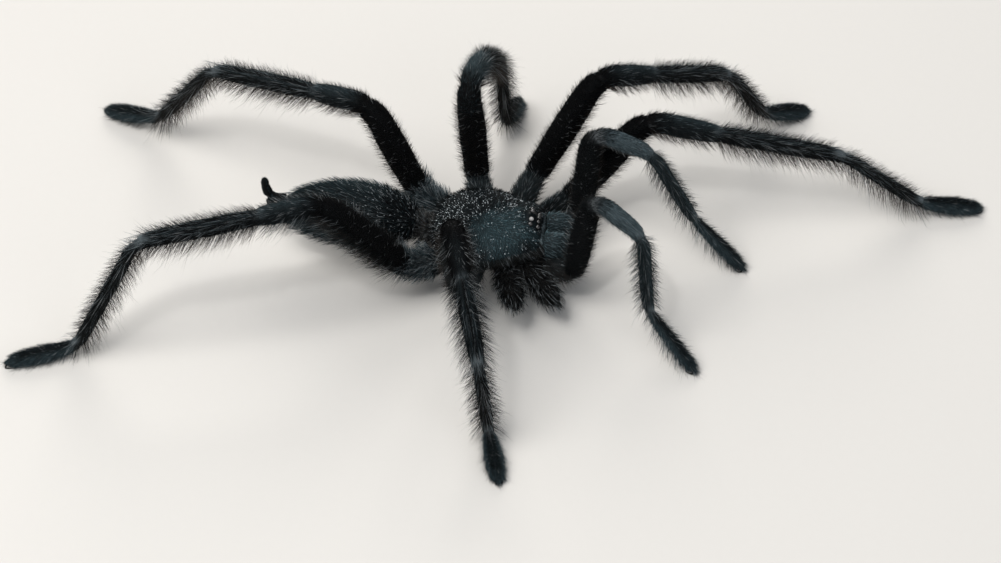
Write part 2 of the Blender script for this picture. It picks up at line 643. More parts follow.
def make_mesh(name, shell, uv=None, uv_name="flow", vectors=None):
    """A smooth object at the origin from a shell: millimetre points, then arrays of quads or
    triangles. `uv` and `vectors` are given for each point."""
    points, *faces = shell
    mesh = bpy.data.meshes.new(name)
    loops = np.concatenate([part.ravel() for part in faces]).astype(np.int32)
    sizes = np.concatenate([np.full(len(part), part.shape[1]) for part in faces])
    mesh.vertices.add(len(points))
    mesh.vertices.foreach_set("co", (points * MM).astype(np.float32).ravel())
    mesh.loops.add(len(loops))
    mesh.loops.foreach_set("vertex_index", loops)
    mesh.polygons.add(len(sizes))
    mesh.polygons.foreach_set("loop_start", np.r_[0, np.cumsum(sizes)[:-1]].astype(np.int32))
    if uv is not None:
        layer = mesh.uv_layers.new(name=uv_name)
        layer.data.foreach_set("uv", uv[loops].astype(np.float32).ravel())
    for key, values in (vectors or {}).items():
        attribute = mesh.attributes.new(key, "FLOAT_VECTOR", "POINT")
        attribute.data.foreach_set("vector", values.astype(np.float32).ravel())
    mesh.update(calc_edges=True)
    mesh.polygons.foreach_set("use_smooth", np.full(len(sizes), True))
    mesh.validate()
    piece = bpy.data.objects.new(name, mesh)
    bpy.context.scene.collection.objects.link(piece)
    return piece


def add_piece(name, shell, material, slot, replaces=(), **layers):
    """A mesh with its material, body and slot, and the nodes that it stands for."""
    piece = make_mesh(name, shell, **layers)
    piece.data.materials.append(material)
    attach(piece, "root")
    if replaces:
        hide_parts(*replaces)


def join_shells(shells):
    """Several (points, faces, faces) as one, their faces renumbered."""
    starts = np.r_[0, np.cumsum([len(shell[0]) for shell in shells])]
    points, *faces = zip(*shells)
    return (np.vstack(points), *(np.vstack([part + start for part, start in zip(kind, starts)])
                                 for kind in faces))


def with_poles(values):
    """Values of a tube's points, with the first and last again for the middles of its ends."""
    return np.vstack([values, values[:1], values[-1:]])


def spikes(hairs, rings):
    """Each hair is a closed three-sided spike. Its line leaves the root at the rise from the skin,
    along its lie, and the rise shrinks by the curl on the way: point(t) = root + length t (lie
    cos(rise(t)) + normal sin(rise(t))). Rings whose radius is half the width, times 1 less the
    taper times t, stand round the line from t = 0 to the last ring, and the tip closes them."""
    root, normal, lie = hairs["root"], hairs["normal"], hairs["lie"]
    length, rise = hairs["length"][:, None], hairs["rise"][:, None]
    across = unit(np.cross(lie, normal))
    points, along = [], []
    for place in np.append(np.linspace(0, LAST_RING, rings), 1):
        tilt = rise * (1 - hairs["curl"][:, None] * place)
        way = lie * np.cos(tilt) + normal * np.sin(tilt)
        centre = root + length * place * way
        if place == 1:
            points.append(centre[:, None])
        else:
            over = np.cross(across, way)
            half = hairs["width"][:, None] / 2 * (1 - TAPER * place)
            points.append(np.stack([centre + half * (across * math.cos(a) + over * math.sin(a))
                                    for a in np.radians([90, 210, 330])], axis=1))
        along += [place] * points[-1].shape[1]
    points = np.concatenate(points, axis=1)
    count, each, top = len(root), points.shape[1], (rings - 1) * 3
    faces = [(0, 2, 1)]
    for ring in range(rings - 1):
        for side in range(3):
            a, b = ring * 3 + side, ring * 3 + (side + 1) % 3
            faces += [(a, b, b + 3), (a, b + 3, a + 3)]
    faces += [(top + side, top + (side + 1) % 3, top + 3) for side in range(3)]
    along = np.tile(along, (count, 1))
    spread = np.tile(np.r_[np.tile([-0.5, 0.5, 0.0], rings), 0.0], (count, 1))
    grown = {
        "faces": np.array(faces)[None] + (np.arange(count) * each)[:, None, None],
        "points": points,
        "uv": hairs["chart"][:, None] + PATCH * np.stack([spread, along - 0.5], axis=-1),
        "strand": np.stack([along, np.repeat(hairs["shade"][:, None], each, 1), along * 0], axis=-1),
        "tone": np.repeat(hairs["tone"][:, None], each, 1),
    }
    grown = {key: values.reshape(-1, values.shape[-1]) for key, values in grown.items()}
    grown["points"][:, 2] = np.maximum(grown["points"][:, 2], LOWEST_HAIR)
    return grown


def plant(name, batches, material, slot):
    """One coat piece from batches of (hairs, rings)."""
    grown = [spikes(hairs, rings) for hairs, rings in batches if len(hairs["root"])]
    points, faces = join_shells([(each["points"], each["faces"]) for each in grown])
    uv, strand, tone = (np.vstack([each[key] for each in grown]) for key in ("uv", "strand", "tone"))
    if len(faces) >= TRIANGLE_LIMIT:
        raise RuntimeError(f"{name} has {len(faces)} triangles")
    add_piece(name, (points, faces), material, slot, uv=np.clip(uv, 0, 1), uv_name="OFBake",
              vectors={"strand": strand, "tone": tone})


def hairs_of(seed, point, normal, lie, chart, tone, length, rise, width, curl=0.3, stray=12.0,
             comb=14.0, heave=0.3, mottle=0.4):
    """Hairs for an array of roots. Length varies by a quarter. The lie turns about the normal by
    a smooth wave of the comb's angle, which neighbours share, plus a stray angle of its own, and
    the rise swells and sinks in the same way by the heave's share. A hair's shade is chance, and
    by the mottle's share a fine wave that neighbours have in common. `seed` may be a generator."""
    rng = np.random.default_rng(seed)
    count = len(point)
    swirl = np.radians(stray * rng.normal(size=count) + comb * ripple(point, 1.6, 11))
    lie = unit(lie - dot(lie, normal) * normal)
    lie = lie * np.cos(swirl)[:, None] + np.cross(normal, lie) * np.sin(swirl)[:, None]
    heave = 1 + heave * (ripple(point, 1.1, 29) + 0.5 * rng.normal(size=count))
    return {
        "root": point - normal * ROOT_DEPTH, "normal": normal, "lie": lie, "chart": chart, "tone": tone,
        "length": length * rng.uniform(0.72, 1.25, count),
        "rise": np.radians(np.clip(rise * heave, 3, 88)),
        "width": width * rng.uniform(0.75, 1.2, count), "curl": np.full(count, curl),
        "chance": rng.random(count), "below": np.clip(-normal[:, 2], 0, 1),
        "shade": np.clip(mix(rng.random(count), 0.5 + 0.55 * ripple(point, 0.45, 47), mottle), 0, 1),
    }


def fleck(hairs, share, pale):
    """Makes a share of the hairs at least so pale."""
    tone = hairs["tone"]
    tone[:, 2] = np.where(hairs["chance"] > 1 - share, np.maximum(tone[:, 2], pale), tone[:, 2])
    return hairs


def pick(hairs, keep):
    """The hairs whose flag is true."""
    return {key: values[keep] for key, values in hairs.items()}


# ------------------------------------------------------------------ tones: slate, tan and pale shares

SLATE = {"coxa": 0.35, "femur": 0.0, "patella": 0.12, "tibia": 0.05, "metatarsus": 0.05, "tarsus": 0.14}
PALP_SLATE = {"coxa": 0.1, "femur": 0.03, "patella": 0.95, "tibia": 0.3, "tarsus": 0.16}
OWN_SLATE = {"leg_left_1": {"coxa": 0.04}, "leg_left_2": {"coxa": 0.14},
             "leg_left_3": {"coxa": 0.2, "patella": 0.5}, "leg_right_3": {"patella": 0.0}}
KNEE_SLATE = {"leg_left_3": 0.4}
DULL_LEG, DULL_BAND, BAND = "leg_right_3", 0.12, 0.35
PATCHED = {"patella": 0.4, "tibia": 1.0, "metatarsus": 1.0}


def joint_patch(limb, place, turn, back=0.04, reach=0.05):
    """1 on the light patches, which are bells on the tops of the far ends of the outer segments."""
    names = segments_of(limb)
    bells = sum(share * hump(place - names.index(name) - 1 + back, reach)
                for name, share in PATCHED.items() if name in names)
    return bells * smoothstep(np.sin(turn), 0.1, 0.7)


def part_at(limb, place):
    """The index of the segment that a place lies in."""
    return np.clip(place.astype(int), 0, len(segments_of(limb)) - 1)


def limb_tone(limb, place, turn):
    """Shares of slate, tan and pale over a limb: the patella has a black knee and a slate band
    along its top, the tibia two slate lines, the foot slate sides and tip; light patches sit on
    the top of the outer joints, and the coxa is grizzled towards the hip."""
    names, palp = segments_of(limb), limb["pair"] == "palp"
    part = part_at(limb, place)
    at = place - part
    is_ = {name: part == index for index, name in enumerate(names)}
    slates = {**(PALP_SLATE if palp else SLATE), **OWN_SLATE.get(name_of(limb), {})}
    slate = np.array([slates[name] for name in names])[part]
    slate = slate * np.where(is_["patella"], smoothstep(at, 0.05, 0.25), 1)
    dorsal = np.clip(np.sin(turn), 0, 1)
    off = np.degrees(np.abs((turn - np.pi / 2 + np.pi) % (2 * np.pi) - np.pi))
    band = DULL_BAND if name_of(limb) == DULL_LEG else BAND
    slate = slate + is_["patella"] * band * hump(off, 36) * smoothstep(at, 0.1, 0.3)
    slate += is_["tibia"] * 0.3 * hump(off - 26, 8)
    patch = joint_patch(limb, place, turn)
    slate += 0.8 * patch
    slate += is_["tarsus"] * (0.5 * smoothstep(at, 0.84, 1.0) + 0.6 * smoothstep(off, 25, 75))
    pale = 0.4 * slates["coxa"] * is_["coxa"] * smoothstep(at, 0.35, 0.8) * (0.3 + 0.7 * dorsal)
    pale += 0.3 * patch
    knee = hump(place - names.index("patella") - 0.04, 0.05)
    pale += palp * (0.05 * is_["patella"] + 0.3 * knee)
    tan = 0.1 * is_["coxa"] * (1 - dorsal)
    return np.column_stack([np.clip(slate, 0, 1), tan, np.clip(pale, 0, 1)])


def still_tone(count, shares):
    """The same shares of slate, tan and pale for each point."""
    return np.tile(np.array(shares, float), (count, 1))


# ------------------------------------------------------------------ the limbs' coat

# layer: segment -> hairs to a square millimetre, length, rise from the skin in degrees
VELVET = {"coxa": (24, 0.8, 36), "femur": (48, 0.5, 40), "patella": (40, 0.62, 17),
          "tibia": (38, 0.8, 14), "metatarsus": (42, 0.75, 15), "tarsus": (52, 0.72, 46)}
LOCKS = {"coxa": (7, 1.3, 42), "femur": (0.8, 0.5, 30), "patella": (12, 1.4, 11),
         "tibia": (14, 1.9, 9), "metatarsus": (14, 1.8, 9), "tarsus": (8, 0.9, 26)}
FRINGE = {"coxa": (5, 1.6, 50), "femur": (4, 1.3, 54), "patella": (7, 1.6, 50),
          "tibia": (9, 2.3, 56), "metatarsus": (9, 2.6, 56), "tarsus": (9, 1.3, 52)}
WISPS = {"coxa": (6, 1.3, 50), "femur": (9, 1.4, 58), "patella": (14, 1.5, 52),
         "tibia": (18, 2.3, 58), "metatarsus": (18, 2.5, 58), "tarsus": (16, 1.3, 56)}
# how much longer or shorter a limb's fringe is on its segments
SKIRTS = {"leg_right_4": {"femur": 1.9, "patella": 1.3},
          "leg_right_3": {"coxa": 1.7, "patella": 1.5, "tibia": 1.2}}
PALP_REACH = {"patella": 0.4, "tarsus": 1.7}
PALP_HAIR, BARE_COXA = 0.85, 0.3
# share of the locks, by chance, that stays dark: on the patella and elsewhere
DARK_LOCKS, DULL_LOCKS = (0.9, 0.8), (0.99, 0.93)
# tuft: seed, hairs, first segment, start and span in segments, start and span in half turns,
# length, rise, width and slate
TUFTS = {
    "knee": (6, 420, "femur", (0.8, 0.5), (0, 1), 0.7, 30, 0.085, 0.0),
    "palp knee": (6, 357, "femur", (0.8, 0.5), (0, 1), 0.7, 30, 0.085, 0.0),
    "streaks": (8, 90, "tibia", (0, 1.6), (0, 1), 3.2, 9, 0.06, 0.5),
    "few streaks": (8, 40, "tibia", (0, 1.6), (0, 1), 3.2, 9, 0.06, 0.5),
    "skirt": (9, 700, "femur", (0.1, 0.9), (1, 1), 2.3, 56, 0.05, 0.1),
    "brush": (4, 460, "tarsus", (1, -0.2), (0, 2), 1.0, 46, 0.07, 0.45),
    "palp brush": (4, 620, "tarsus", (1, -0.24), (0, 2), 1.2, 46, 0.07, 0.45),
    "pad": (5, 700, "tarsus", (0.04, 0.95), (1.15, 0.7), 0.42, 62, 0.08, 0.1),
    "hip": (0, 350, "coxa", (0.45, 0.65), (0, 1), 0.9, 55, 0.055, 0.25),
    "rear hip": (0, 1100, "coxa", (0.45, 0.65), (-0.25, 1.5), 1.9, 55, 0.055, 0.55),
}


def limb_chart(limb, place, turn):
    """A row of the chart for each segment, with the way along it across and the turn upwards."""
    part = part_at(limb, place)
    return np.column_stack([(place - part) * 0.98 + 0.01,
                            (part + 0.02 + 0.96 * (turn / (2 * np.pi) % 1)) / len(segments_of(limb))])


def limb_layer(limb, tube, layer, seed, width, **more):
    """One layer of a limb's coat: roots are scattered at the layer's highest density, and each is
    kept with the share that its own segment's density has of it."""
    rng = np.random.default_rng(seed)
    density, length, rise = (np.array(column) for column in zip(*(layer[n] for n in segments_of(limb))))
    s, turn = tube.roots(density.max(), seed)
    point, normal, along, place = tube.at(s, turn)
    part = part_at(limb, place)
    keep = rng.random(len(s)) < density[part] / density.max()
    hairs = hairs_of(rng, point, normal, along, limb_chart(limb, place, turn),
                     limb_tone(limb, place, turn), length[part], rise[part], width, **more)
    hairs["part"], hairs["place"], hairs["turn"] = part, place, turn
    return pick(hairs, keep & (place > BARE_COXA))


def limb_spots(limb, tube, places, turns, seed, length, rise, width, slate, **more):
    """Hairs at given places of a limb, each place a segment's index and its share of the way."""
    point, normal, along, _ = tube.at(np.interp(places, tube.place, tube.s), turns)
    return hairs_of(seed, point, normal, along, limb_chart(limb, places, turns),
                    still_tone(len(places), (slate, 0, 0)), length, rise, width, **more)


def limb_tuft(limb, tube, kind, seed, **more):
    """Hairs spread evenly over the places and turns that TUFTS has for the kind."""
    offset, count, segment, (start, span), (first, sweep), *looks = TUFTS[kind]
    pairs = scatter(count, seed + offset)
    return limb_spots(limb, tube, segments_of(limb).index(segment) + start + span * pairs[:, 0],
                      np.pi * (first + sweep * pairs[:, 1]), seed + offset, *looks, **more)


def uncover(limb, hairs, back, share=1.0):
    """Without a share of the hairs on the joints' light patches, which a coat leaves bare."""
    covering = joint_patch(limb, hairs["place"], hairs["turn"], back=back, reach=back)
    return pick(hairs, hairs["chance"] > covering * share)


def limb_fringe(limb, tube, layer, seed, width, curl):
    """Hairs that stand out evenly, longer below, where they also turn warm; a few stray ones are
    half as long again and tan. Skirts are longer still and keep some slate. A palp's fringe is
    short on its patella and long on its foot."""
    palp = limb["pair"] == "palp"
    fringe = limb_layer(limb, tube, layer, seed, width, stray=4, comb=1.5, heave=0.07, curl=curl)
    skirts, reach = (np.array([own.get(name, 1.0) for name in segments_of(limb)])[fringe["part"]]
                     for own in (SKIRTS.get(name_of(limb), {}), PALP_REACH if palp else {}))
    low = (1 - fringe["normal"][:, 2]) / 2
    fringe["length"] *= (PALP_HAIR if palp else 1.0) * (0.42 + 0.88 * low) * (1 + (skirts - 1) * low)
    fringe["length"] *= reach
    stray = fringe["chance"] > 0.93
    fringe["length"] *= np.where(stray, 1.5, 1)
    fringe["tone"][:, 1] += 0.4 * stray
    warm, wide = smoothstep(low, 0.35, 0.9), skirts > 1
    fringe["tone"][:, 1] += np.where(wide, 0.04, 0.05 + 0.3 * warm)
    fringe["tone"][:, 0] += wide * 0.25 * warm
    return fleck(uncover(limb, fringe, 0.07), 0.08, 0.45)


def limb_velvet(limb, tube, seed):
    """Short hairs, a pile on the femur and foot and flat between them. They are longer at the
    femur's ends and towards the tip of the foot, where they also stand up."""
    velvet = limb_layer(limb, tube, VELVET, seed, 0.085, stray=6, comb=3, heave=0.12)
    names, part, at = segments_of(limb), velvet["part"], velvet["place"] % 1
    ends = np.where(part == names.index("femur"), hump(at, 0.13) + hump(1 - at, 0.13), 0)
    foot = (1.0 if limb["pair"] == "palp" else 0.7) * (part == names.index("tarsus"))
    brush_end = foot * smoothstep(at, 0.1, 0.8)
    velvet["length"] *= 1 + 0.7 * ends + 0.5 * brush_end
    velvet["rise"] *= 1 + 0.2 * brush_end
    return velvet


def limb_locks(limb, tube, seed):
    """Long flat streaks, of which the brightest by chance are grey."""
    locks = limb_layer(limb, tube, LOCKS, seed + 1, 0.052, curl=0.5, stray=3, comb=3, heave=0.1)
    patella = locks["part"] == segments_of(limb).index("patella")
    dark = DULL_LOCKS if name_of(limb) == DULL_LEG else DARK_LOCKS
    locks["tone"][locks["chance"] > np.where(patella, *dark)] = (0.7, 0.0, 0.18)
    if limb["pair"] == "palp":
        locks["tone"][patella & (locks["chance"] < 0.5)] = (0.3, 0.0, 0.0)
        locks["length"] *= PALP_HAIR
    return uncover(limb, locks, 0.09, 1.2)


def limb_coat(limb, seed):
    """Velvet and locks; a fringe of strong hairs and fine wisps; a black cap of hairs on the
    knee; a row of bristles along the shin; on a leg, long pale streaks over the shin; under a
    skirted femur, a long dark fringe; and the foot's brush and pad."""
    tube, own_name, palp = limb_tube(limb), name_of(limb), limb["pair"] == "palp"
    fringe = limb_fringe(limb, tube, FRINGE, seed + 2, 0.04, 0.2)
    wisps = limb_fringe(limb, tube, WISPS, seed + 7, 0.044, 0.0)
    knee = limb_tuft(limb, tube, "palp knee" if palp else "knee", seed)
    knee["tone"][:, 0] = KNEE_SLATE.get(own_name, 0.0)
    places = segments_of(limb).index("tibia") + np.arange(0.06, 0.97, 0.07)
    bristles = limb_spots(limb, tube, places, np.pi / 2 + 0.12 * np.sin(places * 90), seed + 3,
                          1.2, 58, 0.1, 0.0, stray=4)
    batches = [(limb_velvet(limb, tube, seed), 1), (limb_locks(limb, tube, seed), 2), (fringe, 2),
               (wisps, 1), (knee, 1), (bristles, 2)]
    if not palp:
        streaks = limb_tuft(limb, tube, "few streaks" if own_name == DULL_LEG else "streaks", seed,
                            curl=0.5, stray=4, comb=4)
        streaks["tone"][:, 2] = 0.2
        batches.append((streaks, 3))
    if "femur" in SKIRTS.get(own_name, {}):
        skirt = limb_tuft(limb, tube, "skirt", seed, stray=5, comb=2, heave=0.1)
        skirt["tone"][:, 1] = 0.12
        batches.append((fleck(skirt, 0.12, 0.3), 2))
    return [*batches, (limb_tuft(limb, tube, "palp brush" if palp else "brush", seed), 1),
            (limb_tuft(limb, tube, "pad", seed), 1)]


# ------------------------------------------------------------------ the body's coat

# layer: seed, hairs to a square millimetre, length, rise, width and shares of slate, tan and pale
BODY_HAIR = {
    "keel": (310, 30, 0.8, 30, 0.09, (0.0, 0.01, 0.0)),
    "keel long": (320, 11, 1.7, 40, 0.055, (0.2, 0.12, 0.0)),
    "stump": (310, 50, 0.8, 30, 0.09, (0.0, 0.01, 0.0)),
    "stump long": (320, 11, 1.7, 40, 0.055, (0.2, 0.12, 0.0)),
    "neck": (310, 30, 0.48, 30, 0.09, (0.0, 0.01, 0.0)),
    "neck long": (320, 11, 1.02, 40, 0.055, (0.2, 0.12, 0.0)),
    "waist": (350, 70, 1.6, 55, 0.06, (0.2, 0.15, 0.02)),
    "jaw": (410, 44, 0.5, 13, 0.1, (0.85, 0.0, 0.0)),
    "jaw long": (420, 7, 0.8, 26, 0.055, (0.9, 0.0, 0.15)),
    "beard": (430, 16, 1.0, 36, 0.055, (0.5, 0.0, 0.4)),
    "abdomen": (501, 42, 0.7, 18, 0.085, (0.02, 0.0, 0.0)),
    "abdomen long": (502, 11, 1.3, 36, 0.05, (0.3, 0.0, 0.02)),
    "abdomen front": (503, 34, 1.2, 56, 0.08, (0.0, 0.0, 0.0)),
    "specks": (504, 2.5, 0.22, 45, 0.13, (0.0, 0.0, 0.85)),
    "spinneret": (520, 60, 0.34, 30, 0.07, (0.05, 0.0, 0.0)),
}
# layer: seed, hairs, length, rise and width
CARAPACE_HAIR = {
    "down": (601, 8000, 0.42, 16, 0.12), "sparse": (602, 1200, 0.7, 32, 0.055),
    "granules": (603, 4200, 0.19, 64, 0.2), "lashes": (604, 3000, 0.45, 60, 0.08),
    "fringe": (605, 2400, 1.0, 24, 0.06),
}
COVERED_REACH = 0.985


def tube_hairs(tube, layer, row, index=0, **more):
    """Hairs over a whole tube. Its chart is a band of the patchwork, given as (row, rows), with
    the distance across and the turn upwards. Like tubes of a layer are told apart by index."""
    seed, density, length, rise, width, shares = BODY_HAIR[layer]
    s, turn = tube.roots(density, seed + index)
    point, normal, along, place = tube.at(s, turn)
    chart = np.column_stack([s / tube.s[-1] * 0.98 + 0.01,
                             (row[0] + 0.02 + turn / (2 * np.pi) * 0.96) / row[1]])
    hairs = hairs_of(seed + index, point, normal, along, chart, still_tone(len(s), shares),
                     length, rise, width, **more)
    hairs["place"], hairs["turn"] = place, turn
    return hairs


def trunk_coat():
    """Short and long hairs on the keel, the two stumps, pale at their tips, and the neck; tufts
    on the legs' hips, long on the rear ones; and a shaggy waist."""
    batches = []
    tubes = [("keel", keel_tube()), *(("stump", stump_tube(stump)) for stump in STUMPS),
             ("neck", neck_tube())]
    for index, (layer, tube) in enumerate(tubes):
        row = (index, len(tubes))
        base = tube_hairs(tube, layer, row, index)
        long = tube_hairs(tube, f"{layer} long", row, index, comb=8)
        if layer == "stump":
            for hairs in (base, long):
                tip = smoothstep(hairs["place"], 1.5, 2.0)
                hairs["tone"][:, 2] += 0.25 * tip * (hairs["chance"] > 0.6)
                hairs["length"] *= 1 - 0.5 * tip
        batches += [(base, 1), (fleck(long, 0.2 if layer == "stump" else 0.12, 0.4), 2)]
    for index, limb in enumerate(limb for limb in LIMBS if limb["pair"] != "palp"):
        rear = limb["pair"] == 4
        hip = limb_tuft(limb, limb_tube(limb), "rear hip" if rear else "hip", 340 + index)
        batches.append((fleck(hip, 0.35 if rear else 0.12, 0.4), 2))
    waist = tube_hairs(pedicel_tube(), "waist", (3, 4))
    waist["length"] *= 1 + 0.7 * waist["below"]
    waist["rise"] *= 1 + 0.45 * waist["below"]
    return [*batches, (fleck(waist, 0.2, 0.3), 2)]


def jaw_coat():
    """Flat down, a little paler on the outer flanks, with long hairs and a pale beard below."""
    batches = []
    for index, side in enumerate((1, -1)):
        tube, row = jaw_tube(side), (index, 2)
        base = tube_hairs(tube, "jaw", row, index, stray=9, mottle=0.5)
        base["tone"][:, 2] += 0.06 * smoothstep(side * np.cos(base["turn"]), 0.2, 0.9)
        beard = tube_hairs(tube, "beard", row, index)
        batches += [(fleck(base, 0.06, 0.25), 1), (tube_hairs(tube, "jaw long", row, index), 2),
                    (pick(beard, beard["below"] > 0.6), 2)]
    return batches


def abdomen_coat():
    """Black hairs, slate on the shoulders; long ones, longer and warm below; an upright ruff and
    pale specks in front; and short hairs in four slate lines on each spinneret."""
    tube, row = abdomen_tube(), (0, 1.6)
    base = tube_hairs(tube, "abdomen", row)
    shoulder = smoothstep(base["place"], 0.08, 0.3) * (1 - smoothstep(base["place"], 0.5, 0.9))
    base["tone"][:, 0] += 0.16 * shoulder * np.clip(np.sin(base["turn"]) + 0.3, 0, 1)
    long = tube_hairs(tube, "abdomen long", row, curl=0.2, stray=8, comb=6, heave=0.15)
    long["tone"][:, 1] += 0.3 * long["below"]
    long["length"] *= 1 + 0.5 * long["below"]
    front = fleck(tube_hairs(tube, "abdomen front", row), 0.03, 0.6)
    front = pick(front, front["chance"] > smoothstep(front["place"], 0.14, 0.34))
    specks = tube_hairs(tube, "specks", row, mottle=0)
    specks["root"] += specks["normal"] * 0.25
    specks = pick(specks, specks["chance"] > smoothstep(specks["place"], 0.1, 0.8))
    batches = [(fleck(base, 0.012, 0.6), 1), (fleck(long, 0.14, 0.35), 2), (specks, 1), (front, 1)]
    for index, name in enumerate(SPINNERETS):
        hairs = tube_hairs(spinneret_tube(name), "spinneret", (5 + index * 0.7, 8), index)
        hairs["tone"][:, 0] += 0.7 * hump(np.abs(np.cos(hairs["turn"] * 2)), 0.25)
        batches.append((hairs, 1))
    return batches


def carapace_cover(points, reach):
    """Share of teal down: an oval on the head, a little right of the middle, with a ragged edge.
    It is bare round the eyes and at the right front corner, and thins along the margin."""
    ahead, left = ahead_and_left(points)
    spread = np.hypot((ahead - 2.4) / 5.5, (left + 2.5) / 4.9) + 0.1 * ripple(points, 1.8, 5)
    cover = 1 - smoothstep(spread, 0.5, 1.05)
    mound = hump(from_eye_hill(ahead, left), 1.1)
    corner = hump(np.hypot(ahead - 4.9, left + 4.1), 1.2)
    edge = smoothstep(reach, 0.8, 0.97) * mix(0.35, 0.85, smoothstep(left, -3.0, 0.0))
    return cover * (1 - mound) * (1 - corner) * (1 - edge)


def carapace_tone(cover):
    """Shares of slate, tan and pale where the carapace has that cover of down."""
    return np.column_stack([0.1 + 0.82 * cover, 0 * cover, 0 * cover])


def carapace_hairs(layer, low=0.0, **more):
    """Hairs lying outward from the fovea, with their roots evenly spread between two reaches."""
    seed, count, *looks = CARAPACE_HAIR[layer]
    pairs = scatter(count, seed)
    reach = np.sqrt(low ** 2 + (COVERED_REACH ** 2 - low ** 2) * pairs[:, 0])
    point, normal, outward = dome_frame(reach, pairs[:, 1])
    turn = 2 * np.pi * pairs[:, 1]
    chart = 0.5 + 0.48 * reach[:, None] * np.column_stack([np.cos(turn), np.sin(turn)])
    cover = carapace_cover(point, reach)
    hairs = hairs_of(seed, point, normal, outward, chart, carapace_tone(cover), *looks, **more)
    ahead, left = ahead_and_left(point)
    return {**hairs, "cover": cover, "ahead": ahead, "left": left,
            "hill": from_eye_hill(ahead, left, 1.3, 1.65)}


def carapace_coat():
    """Flat down, thick where it is teal; pale granule-like bristles in clusters, thick where it is
    black, on the left and round the eyes; black bristles on the eyes' hill; and a dark fringe
    along the margin, slate in front and hanging at the right front."""
    down = carapace_hairs("down", mottle=0.2)
    down = pick(down, (down["chance"] > 0.75 - 0.55 * down["cover"]) & (down["hill"] > 0.85))
    sparse = carapace_hairs("sparse")
    granules = carapace_hairs("granules", mottle=0)
    granules["tone"][:, 2] = 0.12 + 0.88 * granules["shade"] ** 1.7
    granules["width"] *= 0.35 + 0.75 * granules["shade"] ** 2
    near = 1 - smoothstep(granules["left"], -3.0, 1.0)
    bare = 0.52 + 0.25 * granules["cover"] + 0.1 * near + 0.22 * ripple(granules["root"], 1.3, 71)
    bare -= 0.3 * hump(granules["hill"] - 1.2, 0.4)
    lashes = carapace_hairs("lashes")
    lashes["tone"][:, 0] = 0.0
    fringe = carapace_hairs("fringe", low=0.95)
    front = smoothstep(fringe["ahead"], 5.7, 6.2) * (np.abs(fringe["left"]) < 2.4)
    hanging = smoothstep(-fringe["left"], 1.5, 3.0) * smoothstep(fringe["ahead"], -1.0, 1.5)
    fringe["length"] *= 1 - 0.55 * front + 0.7 * hanging
    fringe["rise"] *= 1 - 0.9 * hanging
    fringe["tone"] = np.column_stack([0.03 + 0.6 * front, 0.02 + 0.04 * hanging, 0.16 * front])
    return [(fleck(down, 0.05, 0.4), 1), (pick(sparse, sparse["hill"] > 1), 2),
            (pick(granules, (granules["chance"] > bare) & (granules["hill"] > 0.8)), 1),
            (pick(lashes, (lashes["hill"] > 0.66) & (lashes["hill"] < 1.3)), 1),
            (fleck(fringe, 0.1, 0.4), 2)]


# ------------------------------------------------------------------ shading


def math_node(operation, turned=False):
    """A method that adds a Math node of its value and another, which come turned round for the
    reflected form."""
    def add(value, other):
        a, b = (other, value) if turned else (value, other)
        return value.graph.node("ShaderNodeMath", {"operation": operation}, {0: a, 1: b})
    return add


class Val:
    """A socket's value. Sums, differences, products and powers add Math nodes."""

    def __init__(self, graph, socket):
        self.graph, self.socket = graph, socket

    __add__, __radd__ = math_node("ADD"), math_node("ADD", turned=True)
    __sub__, __rsub__ = math_node("SUBTRACT"), math_node("SUBTRACT", turned=True)
    __mul__, __rmul__ = math_node("MULTIPLY"), math_node("MULTIPLY", turned=True)
    __pow__ = math_node("POWER")


